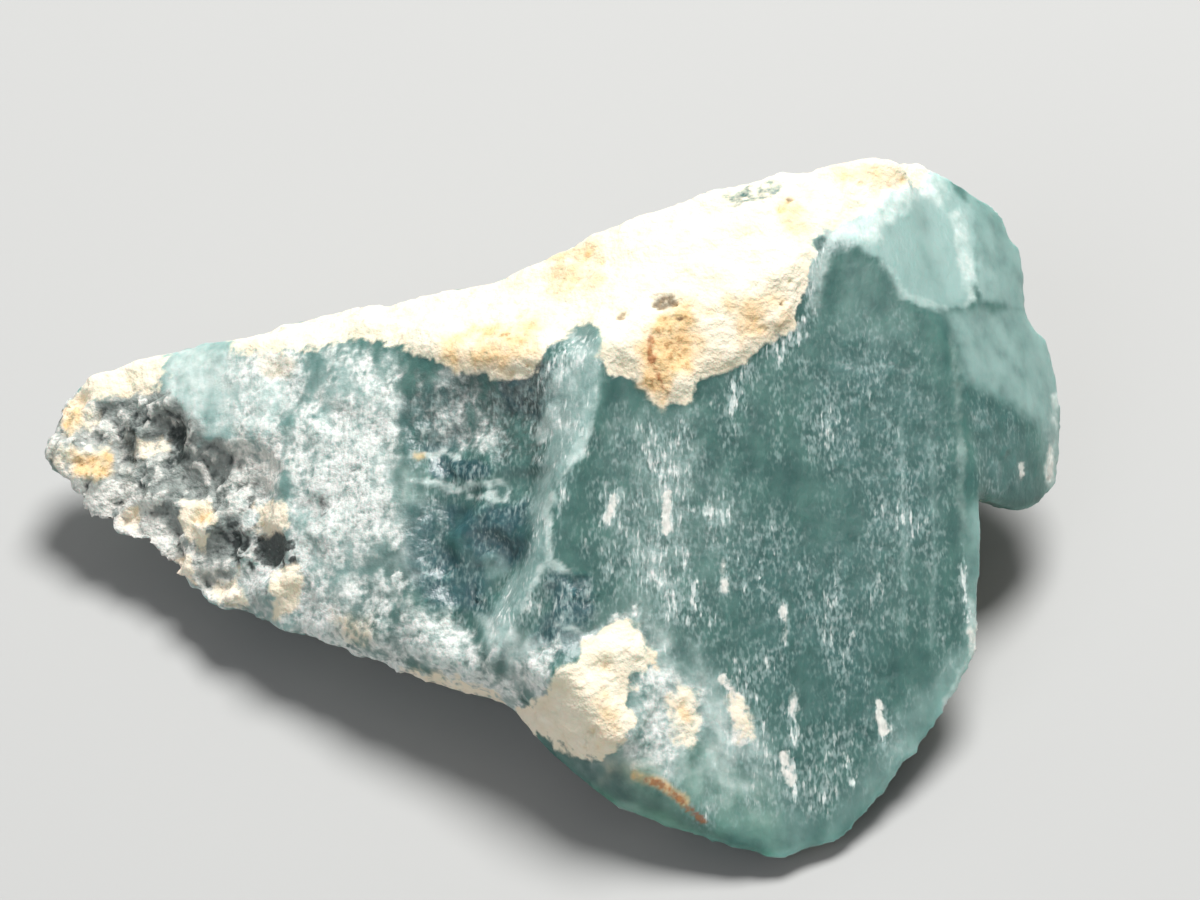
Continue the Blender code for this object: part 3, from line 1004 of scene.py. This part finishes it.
@dataclass(frozen=True)
class RoughGrandidierite:
    """Rough grandidierite, broken and weathered. Waxy cleavage lets the eye a little way in.

    Attributes:
        body: The teal of fresh crystal in the mass.
        thin: The greener teal that it varies to.
        roughness: Of the waxy cleavage.
        ior: The mineral's own, about 1.6.
        scatter: How far light travels inside it, in millimetres, for red, green and blue.
        layers: The tones over the fresh crystal, lowest first.
    """

    body: str = "#365f5a"
    thin: str = "#507a71"
    roughness: float = 0.42
    ior: float = 1.6
    scatter: tuple[float, float, float] = (0.35, 0.9, 0.8)
    layers: tuple[Layer, ...] = LAYERS


def linear(colour: str) -> tuple[float, float, float, float]:
    """Turns an sRGB hex value to a linear colour.

    Args:
        colour: Such as "#4f7d78".

    Returns:
        Red, green, blue and a full alpha.
    """
    parts = [int(colour[place : place + 2], 16) / 255 for place in (1, 3, 5)]
    red, green, blue = [c / 12.92 if c <= 0.04045 else ((c + 0.055) / 1.055) ** 2.4 for c in parts]
    return red, green, blue, 1.0


def add_node(
    tree: bpy.types.NodeTree,
    kind: str,
    settings: dict[str, object] | None = None,
    inputs: dict[str, object] | None = None,
    output: str | None = None,
) -> bpy.types.NodeSocket:
    """Adds one node with its settings and links.

    Args:
        tree: The node tree.
        kind: The node's type.
        settings: Its properties.
        inputs: For each input's identifier, a value or the socket that feeds it.
        output: The name of the output that is wanted, or none for the first in use.

    Returns:
        That output.
    """
    node = tree.nodes.new(kind)
    for name, value in (settings or {}).items():
        setattr(node, name, value)
    sockets = {socket.identifier: socket for socket in node.inputs}
    for name, value in (inputs or {}).items():
        if isinstance(value, bpy.types.NodeSocket):
            tree.links.new(value, sockets[name])
        else:
            sockets[name].default_value = value
    if output:
        return node.outputs[output]
    return next((socket for socket in node.outputs if socket.enabled), None)


@dataclass
class StoneSurface:
    """Builds the stone's material, one layer over the other.

    Attributes:
        finish: The finish that it shows.
    """

    finish: RoughGrandidierite = field(default_factory=RoughGrandidierite)
    tree: bpy.types.NodeTree = field(init=False)
    patterns: dict[Pattern, bpy.types.NodeSocket] = field(init=False, default_factory=dict)

    def build(self) -> bpy.types.Material:
        """Makes the material.

        Returns:
            The rough grandidierite.
        """
        material = bpy.data.materials.new("rough grandidierite")
        material.use_nodes = True
        self.tree = material.node_tree
        self.tree.nodes.clear()
        place = add_node(self.tree, "ShaderNodeTexCoord", output="Object")
        for pattern, figure in FIGURES.items():
            self.patterns[pattern] = self.draw(figure, place)

        tones = {"A_Color": linear(self.finish.body), "B_Color": linear(self.finish.thin)}
        inputs = {"Factor_Float": self.patterns[Pattern.MOTTLE]} | tones
        tone = add_node(self.tree, "ShaderNodeMix", {"data_type": "RGBA"}, inputs)
        mixed = {"Base Color": tone, "Roughness": self.finish.roughness, "Subsurface Weight": 1.0}
        for layer in self.finish.layers:
            cover = self.cover(layer)
            tones = {"A_Color": linear(layer.tone), "B_Color": linear(layer.other)}
            inputs = {"Factor_Float": self.patterns[layer.shades]} | tones
            tone = add_node(self.tree, "ShaderNodeMix", {"data_type": "RGBA"}, inputs)
            own = {"Base Color": tone, "Roughness": layer.roughness, "Subsurface Weight": layer.depth}
            for name, value in own.items():
                kind, ending = ("RGBA", "Color") if value is tone else ("FLOAT", "Float")
                inputs = {"Factor_Float": cover, f"A_{ending}": mixed[name], f"B_{ending}": value}
                mixed[name] = add_node(self.tree, "ShaderNodeMix", {"data_type": kind}, inputs)
        shader = add_node(
            self.tree,
            "ShaderNodeBsdfPrincipled",
            {"subsurface_method": "RANDOM_WALK"},
            mixed
            | {
                "IOR": self.finish.ior,
                "Subsurface Radius": self.finish.scatter,
                "Subsurface Scale": METRES_PER_MM,
                "Normal": self.fine_relief(),
            },
        )
        add_node(self.tree, "ShaderNodeOutputMaterial", inputs={"Surface": shader})
        return material

    def draw(self, figure: Figure, place: bpy.types.NodeSocket) -> bpy.types.NodeSocket:
        """Adds a pattern that is stretched along the crystal's fibres.

        Args:
            figure: How it is drawn.
            place: The place on the stone, in metres.

        Returns:
            The pattern, from 0 to 1.
        """
        scale = tuple(size * METRES_PER_MM for size in figure.size)
        turned = add_node(
            self.tree,
            "ShaderNodeMapping",
            {"vector_type": "TEXTURE"},
            {"Vector": place, "Rotation": (CRYSTAL.dip, 0.0, 0.0), "Scale": scale},
        )
        inputs = {"Vector": turned, "Scale": 1.0, "Detail": figure.detail}
        drawn = add_node(self.tree, "ShaderNodeTexNoise", inputs=inputs, output="Fac")
        inputs = {"Value": drawn, "From Min": 0.5 - figure.spread, "From Max": 0.5 + figure.spread}
        return add_node(self.tree, "ShaderNodeMapRange", inputs=inputs)

    def cover(self, layer: Layer) -> bpy.types.NodeSocket:
        """Works out where a layer lies.

        Args:
            layer: The layer.

        Returns:
            Its cover, from 0 to its strength.
        """
        settings = {"attribute_name": layer.zone.value}
        amount = add_node(self.tree, "ShaderNodeAttribute", settings, output="Fac")
        least = 1.0 - 0.5 * layer.ragged
        inputs = {"Value": self.patterns[layer.breaks], "Value_001": layer.ragged, "Value_002": least}
        broken = add_node(self.tree, "ShaderNodeMath", {"operation": "MULTIPLY_ADD"}, inputs)
        inputs = {"Value": broken, "Value_001": amount}
        broken = add_node(self.tree, "ShaderNodeMath", {"operation": "MULTIPLY"}, inputs)
        low, high = layer.limit - layer.edge, layer.limit + layer.edge
        inputs = {"Value": broken, "From Min": low, "From Max": high, "To Max": layer.strength}
        return add_node(self.tree, "ShaderNodeMapRange", {"interpolation_type": "SMOOTHSTEP"}, inputs)

    def fine_relief(self) -> bpy.types.NodeSocket:
        """Adds the roughness that is too fine for the skin.

        Returns:
            The direction in which the rough surface faces.
        """
        height: object = 0.0
        for name, pattern in ((GRIT_HEIGHT, Pattern.GRAIN), (FIBRE_HEIGHT, Pattern.FIBRE)):
            own = add_node(self.tree, "ShaderNodeAttribute", {"attribute_name": name}, output="Fac")
            inputs = {"Value": own, "Value_001": self.patterns[pattern], "Value_002": height}
            height = add_node(self.tree, "ShaderNodeMath", {"operation": "MULTIPLY_ADD"}, inputs)
        inputs = {"Height": height, "Distance": METRES_PER_MM, "Strength": 1.0}
        return add_node(self.tree, "ShaderNodeBump", inputs=inputs)


def spread_out(values: Array, edges: Array, times: int) -> Array:
    """Evens out values between neighbouring points.

    Args:
        values: One for each point.
        edges: The two points of each edge.
        times: How often to even them out.

    Returns:
        The evened values.
    """
    one, other = edges.T
    count = len(values)
    neighbours = np.bincount(one, minlength=count) + np.bincount(other, minlength=count)
    for _ in range(times):
        sums = np.bincount(one, values[other], count) + np.bincount(other, values[one], count)
        values = (values + sums) / (1 + neighbours)
    return values


def drop_crumbs(mesh: bmesh.types.BMesh) -> None:
    """Deletes every island of a mesh but the largest.

    Args:
        mesh: The mesh.
    """
    unseen = set(mesh.verts)
    islands = []
    while unseen:
        island = [unseen.pop()]
        for vertex in island:
            near = {edge.other_vert(vertex) for edge in vertex.link_edges} & unseen
            unseen -= near
            island.extend(near)
        islands.append(island)
    islands.sort(key=len)
    crumbs = [vertex for island in islands[:-1] for vertex in island]
    bmesh.ops.delete(mesh, geom=crumbs, context="VERTS")
    mesh.verts.index_update()


@dataclass
class Stone:
    """The rough stone: its skin, its relief and its finish.

    Attributes:
        cad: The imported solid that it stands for.
        view: The photograph's viewpoint.
        voxel: How fine the skin is, in millimetres.
        rounding: How often the skin is smoothed before its relief is carved.
        smoothing: How far one smoothing moves a point towards its neighbours.
        table_margin: The relief fades out below this height, in millimetres.
        dip_width: How many points across a dip or a crest may be.
        dip_depth: How deep a full dip is, in millimetres.
        blunting: How often the slivers on the relief are smoothed.
        steepest: A sliver turns the skin further than this, the cosine of an angle.
    """

    cad: bpy.types.Object
    view: Viewpoint
    voxel: float = 0.105
    rounding: int = 4
    smoothing: float = 0.5
    table_margin: float = 0.35
    dip_width: int = 8
    dip_depth: float = 0.07
    blunting: int = 8
    steepest: float = 0.3

    def build(self) -> bpy.types.Object:
        """Makes the finished stone.

        Returns:
            Its object, at the origin and in metres.
        """
        mesh = self.skin()
        survey = self.survey(mesh)
        amounts = {zone: survey.amount_of(spread) for zone, spread in SPREADS.items()}
        fine = self.carve(mesh, survey, amounts)
        bmesh.ops.scale(mesh, vec=(METRES_PER_MM,) * 3, verts=mesh.verts)
        data = bpy.data.meshes.new("rough_stone")
        mesh.to_mesh(data)
        mesh.free()
        data.shade_smooth()
        values = {zone.value: amount for zone, amount in amounts.items()} | fine
        for name, value in values.items():
            attribute = data.attributes.new(name, "FLOAT", "POINT")
            attribute.data.foreach_set("value", value.astype(np.float32))
        data.materials.append(StoneSurface().build())
        stone = bpy.data.objects.new("rough_stone", data)
        bpy.context.scene.collection.objects.link(stone)
        return stone

    def skin(self) -> bmesh.types.BMesh:
        """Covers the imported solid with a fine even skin, in millimetres.

        Returns:
            The skin.
        """
        mesh = bmesh.new()
        mesh.from_mesh(self.cad.data)
        bmesh.ops.remove_doubles(mesh, verts=mesh.verts, dist=MERGE_METRES)
        bmesh.ops.scale(mesh, vec=(1.0 / METRES_PER_MM,) * 3, verts=mesh.verts)
        data = bpy.data.meshes.new("skin")
        mesh.to_mesh(data)
        mesh.free()
        helper = bpy.data.objects.new("skin", data)
        bpy.context.scene.collection.objects.link(helper)
        remesh = helper.modifiers.new("even skin", "REMESH")
        remesh.mode = "VOXEL"
        remesh.voxel_size = self.voxel
        graph = bpy.context.evaluated_depsgraph_get()
        mesh = bmesh.new()
        mesh.from_mesh(helper.evaluated_get(graph).data)
        bpy.data.objects.remove(helper)
        bpy.data.meshes.remove(data)
        drop_crumbs(mesh)
        for _ in range(self.rounding):
            bmesh.ops.smooth_vert(mesh, verts=mesh.verts, factor=self.smoothing, **ALL_AXES)
        return mesh

    def survey(self, mesh: bmesh.types.BMesh) -> Survey:
        """Reads the places and directions of the skin's points."""
        mesh.normal_update()
        points = np.array([vertex.co for vertex in mesh.verts])
        normals = np.array([vertex.normal for vertex in mesh.verts])
        return Survey(points, normals, self.view)

    def carve(
        self, mesh: bmesh.types.BMesh, survey: Survey, amounts: dict[Zone, Array]
    ) -> dict[str, Array]:
        """Moves the skin out or in by the relief of each kind of surface, and shifts some tones into its
        dips and onto its crests.

        Args:
            mesh: The skin.
            survey: Its points.
            amounts: How much of each kind lies at each point.

        Returns:
            The heights of the roughness that is too fine for the skin.
        """
        edges = np.array([(edge.verts[0].index, edge.verts[1].index) for edge in mesh.edges])
        out = BARE.heights(survey, BARE_SEED)
        grit = np.full(len(out), BARE.grit)
        fibres = np.full(len(out), BARE.fibres)
        for number, (zone, relief) in enumerate(RELIEFS.items()):
            amount = amounts[zone]
            out += amount * relief.heights(survey, RELIEF_SEED + SEEDS_APART * number)
            grit += amount * (relief.grit - grit)
            fibres += amount * (relief.fibres - fibres)
        above = (out - spread_out(out, edges, self.dip_width)) / self.dip_depth
        crests, dips = ease(above), ease(-above)
        for gathering in GATHERINGS:
            places = crests if gathering.on_crests else dips
            more = gathering.amount * amounts[gathering.ground] * places
            amounts[gathering.what] = np.clip(amounts[gathering.what] + more, 0.0, 1.0)
        out *= ease(survey.points[:, 2] / self.table_margin)
        for vertex, height in zip(mesh.verts, out):
            vertex.co += vertex.normal * height
            vertex.co.z = max(vertex.co.z, 0.0)
        self.blunt(mesh, survey.normals)
        return {GRIT_HEIGHT: grit, FIBRE_HEIGHT: fibres}

    def blunt(self, mesh: bmesh.types.BMesh, normals: Array) -> None:
        """Smooths the slivers where the relief has turned the skin far from the way it faced.

        Args:
            mesh: The carved skin.
            normals: The directions in which it faced before.
        """
        for _ in range(self.blunting):
            mesh.normal_update()
            turned = np.array([vertex.normal for vertex in mesh.verts])
            steep = np.einsum("ij,ij->i", turned, normals) < self.steepest
            slivers = [vertex for vertex, is_sliver in zip(mesh.verts, steep) if is_sliver]
            bmesh.ops.smooth_vert(mesh, verts=slivers, factor=self.smoothing, **ALL_AXES)


@dataclass(frozen=True)
class Softbox:
    """A soft studio lamp. Lengths are metres.

    Attributes:
        name: Its name.
        place: Where it stands.
        size: How wide it is.
        power: Its power in watts.
        tint: The colour of its light.
    """

    name: str
    place: tuple[float, float, float]
    size: float
    power: float
    tint: str = "#ffffff"

    def add(self, target: Vector) -> None:
        """Adds the lamp, turned to a target.

        Args:
            target: The place that it lights.
        """
        data = bpy.data.lights.new(self.name, "AREA")
        data.shape = "DISK"
        data.size = self.size
        data.energy = self.power
        data.color = linear(self.tint)[:3]
        lamp = bpy.data.objects.new(self.name, data)
        lamp.location = self.place
        lamp.rotation_euler = (target - Vector(self.place)).to_track_quat("-Z", "Y").to_euler()
        bpy.context.scene.collection.objects.link(lamp)


@dataclass
class Studio:
    """The plain pale floor and the soft light round the stone.

    Attributes:
        floor_tone: The colour of the floor.
        floor_roughness: Its roughness, from 0 to 1.
        floor_reach: How far the floor goes each way, in metres.
        sky_tone: The colour of the light from all round.
        sky: How bright that light is.
        target: The place that the lamps are turned to, in metres.
        lamps: The lamps.
    """

    floor_tone: str = "#b0b0ae"
    floor_roughness: float = 0.9
    floor_reach: float = 1.5
    sky_tone: str = "#ffffff"
    sky: float = 0.2
    target: tuple[float, float, float] = (0.0, 0.0, 0.004)
    lamps: tuple[Softbox, ...] = (
        Softbox("key", (0.05, 0.13, 0.30), 0.16, 1.72),
        Softbox("fill", (-0.25, -0.35, 0.3), 0.4, 0.6, "#f2f6ff"),
    )

    def build(self) -> None:
        """Adds the floor, the lamps and the sky."""
        mesh = bmesh.new()
        bmesh.ops.create_grid(mesh, x_segments=1, y_segments=1, size=self.floor_reach)
        data = bpy.data.meshes.new("floor")
        mesh.to_mesh(data)
        mesh.free()
        data.materials.append(self.floor_material())
        floor = bpy.data.objects.new("floor", data)
        bpy.context.scene.collection.objects.link(floor)
        for lamp in self.lamps:
            lamp.add(Vector(self.target))
        world = bpy.data.worlds.new("studio")
        world.use_nodes = True
        backdrop = world.node_tree.nodes["Background"]
        backdrop.inputs["Color"].default_value = linear(self.sky_tone)
        backdrop.inputs["Strength"].default_value = self.sky
        bpy.context.scene.world = world
        bpy.context.scene.view_settings.view_transform = "Standard"

    def floor_material(self) -> bpy.types.Material:
        """Makes the floor's matt pale card."""
        material = bpy.data.materials.new("matt pale card")
        material.use_nodes = True
        tree = material.node_tree
        tree.nodes.clear()
        inputs = {"Base Color": linear(self.floor_tone), "Roughness": self.floor_roughness}
        shader = add_node(tree, "ShaderNodeBsdfPrincipled", inputs=inputs)
        add_node(tree, "ShaderNodeOutputMaterial", inputs={"Surface": shader})
        return material


def main() -> None:
    """Builds the stone and its studio."""
    logging.basicConfig(level=logging.INFO, format="%(name)s: %(message)s")
    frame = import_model()

    view = Viewpoint()
    view.add_camera()
    Studio().build()

    stone = Stone(frame["nodes"][NODE], view).build()
    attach(stone, BODY)
    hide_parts(NODE)
    log.info("%s has %d faces", stone.name, len(stone.data.polygons))


if __name__ == "__main__":
    main()
